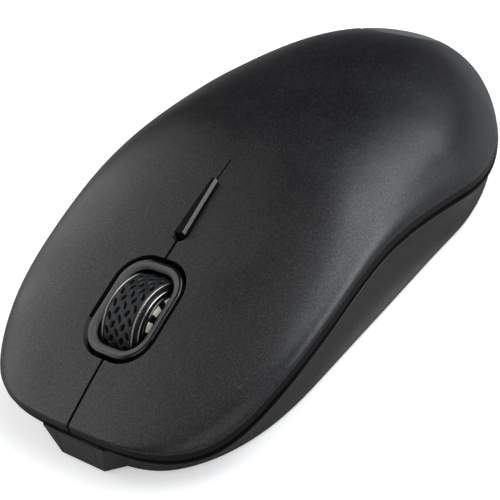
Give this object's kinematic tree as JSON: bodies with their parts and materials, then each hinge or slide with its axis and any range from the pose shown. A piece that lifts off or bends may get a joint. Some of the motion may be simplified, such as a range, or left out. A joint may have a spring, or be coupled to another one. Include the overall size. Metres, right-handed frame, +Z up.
{
  "type": "computer mouse",
  "caption": "Slim wireless computer mouse: split soft-touch top, clickable scroll wheel in a ring bezel, raised centre bar, waisted bottom shell.",
  "frame": {"origin": "on the desk plane, under the centre of the bounding box", "axes": "+X towards the user's left (thumb side of a right hand), +Y from the nose towards the palm, +Z up; the buttons are at -Y"},
  "size_m": [0.0582, 0.1063, 0.0255],
  "materials": {
    "soft_black": "soft-touch satin",
    "shell_black": "fine matt grain",
    "gap_black": "matt",
    "bezel_grey": "fine matt",
    "gloss_black": "polished",
    "tyre_rubber": "matt rubber with dimples",
    "bright_rim": "polished",
    "inlay_grey": "satin",
    "skate_slick": "slick low-friction plastic",
    "board_green": "solder resist",
    "chip_black": "moulded",
    "steel": "plated",
    "cell_can": "printed sleeve, left plain",
    "lens_clear": "clear",
    "light_red": "tinted clear",
    "switch_body": "moulded",
    "plunger_white": "moulded",
    "carrier_grey": "moulded",
    "encoder_blue": "moulded"
  },
  "bodies": {
    "chassis": {"bottom_shell": "shell_black", "front_nose_panel": "shell_black", "seam_trim": "gap_black", "palm_cover": "soft_black", "rear_inlay": "inlay_grey", "wheel_bezel": "bezel_grey", "carrier_spring": "steel", "main_board": "board_green", "controller_chip": "chip_black", "crystal_can": "steel", "optical_sensor": "chip_black", "sensor_light": "light_red", "sensor_lens": "lens_clear", "left_switch": "switch_body", "right_switch": "switch_body", "middle_switch": "switch_body", "resolution_switch": "switch_body", "power_switch": "switch_body", "battery_cell": "cell_can", "battery_spring": "steel", "battery_contact": "steel", "case_screws": "steel", "board_screws": "steel", "front_skate": "skate_slick", "rear_skate": "skate_slick"},
    "left_button": {"left_button": "soft_black"},
    "right_button": {"right_button": "soft_black"},
    "left_plunger": {"left_plunger": "plunger_white"},
    "right_plunger": {"right_plunger": "plunger_white"},
    "wheel_carrier": {"wheel_carrier": "carrier_grey", "encoder_body": "encoder_blue"},
    "wheel": {"wheel_tyre": "tyre_rubber", "wheel_rim_left": "bright_rim", "wheel_rim_right": "bright_rim", "wheel_hub": "gloss_black", "encoder_rotor": "plunger_white"},
    "middle_plunger": {"middle_plunger": "plunger_white"},
    "resolution_bar": {"resolution_bar": "gloss_black"},
    "resolution_plunger": {"resolution_plunger": "plunger_white"},
    "power_slider": {"power_slider": "carrier_grey"},
    "battery_door": {"battery_door": "shell_black"},
    "receiver": {"receiver_shell": "steel", "receiver_tongue": "gap_black", "receiver_cap": "gloss_black"}
  },
  "joints": [
    {"name": "left_button_press", "type": "hinge", "parent": "chassis", "child": "left_button", "pos_m": [0, -0.0064, 0.0228], "axis": [1, 0, 0], "range_deg": [0, 0.5]},
    {"name": "left_plunger_travel", "type": "slide", "parent": "chassis", "child": "left_plunger", "axis": [0, 0, -1], "range_m": [0, 0.0005]},
    {"name": "right_button_press", "type": "hinge", "parent": "chassis", "child": "right_button", "pos_m": [0, -0.0064, 0.0228], "axis": [1, 0, 0], "range_deg": [0, 0.5]},
    {"name": "right_plunger_travel", "type": "slide", "parent": "chassis", "child": "right_plunger", "axis": [0, 0, -1], "range_m": [0, 0.0005]},
    {"name": "wheel_click", "type": "hinge", "parent": "chassis", "child": "wheel_carrier", "pos_m": [0, -0.0215, 0.007], "axis": [1, 0, 0], "range_deg": [0, 2.2], "deforming": ["carrier_spring"]},
    {"name": "scroll_wheel", "type": "hinge", "parent": "wheel_carrier", "child": "wheel", "pos_m": [0, -0.0323, 0.01055], "axis": [1, 0, 0], "continuous": true},
    {"name": "middle_plunger_travel", "type": "slide", "parent": "chassis", "child": "middle_plunger", "axis": [0, 0, -1], "range_m": [0, 0.0005]},
    {"name": "resolution_press", "type": "slide", "parent": "chassis", "child": "resolution_bar", "axis": [0, 0, -1], "range_m": [0, 0.0004]},
    {"name": "resolution_plunger_travel", "type": "slide", "parent": "chassis", "child": "resolution_plunger", "axis": [0, 0, -1], "range_m": [0, 0.0005]},
    {"name": "power_slide", "type": "slide", "parent": "chassis", "child": "power_slider", "axis": [1, 0, 0], "range_m": [0, 0.002]},
    {"name": "battery_door_release", "type": "slide", "parent": "chassis", "child": "battery_door", "axis": [0, 0, -1], "range_m": [0, 0.012]},
    {"name": "receiver_draw", "type": "slide", "parent": "chassis", "child": "receiver", "axis": [0, 0, -1], "range_m": [0, 0.01]}
  ],
  "couplings": [
    {"joint": "left_plunger_travel", "follows": "left_button_press", "m_per_rad": 0.0286},
    {"joint": "right_plunger_travel", "follows": "right_button_press", "m_per_rad": 0.0286},
    {"joint": "middle_plunger_travel", "follows": "wheel_click", "m_per_rad": 0.0108},
    {"joint": "resolution_plunger_travel", "follows": "resolution_press", "ratio": 1}
  ]
}
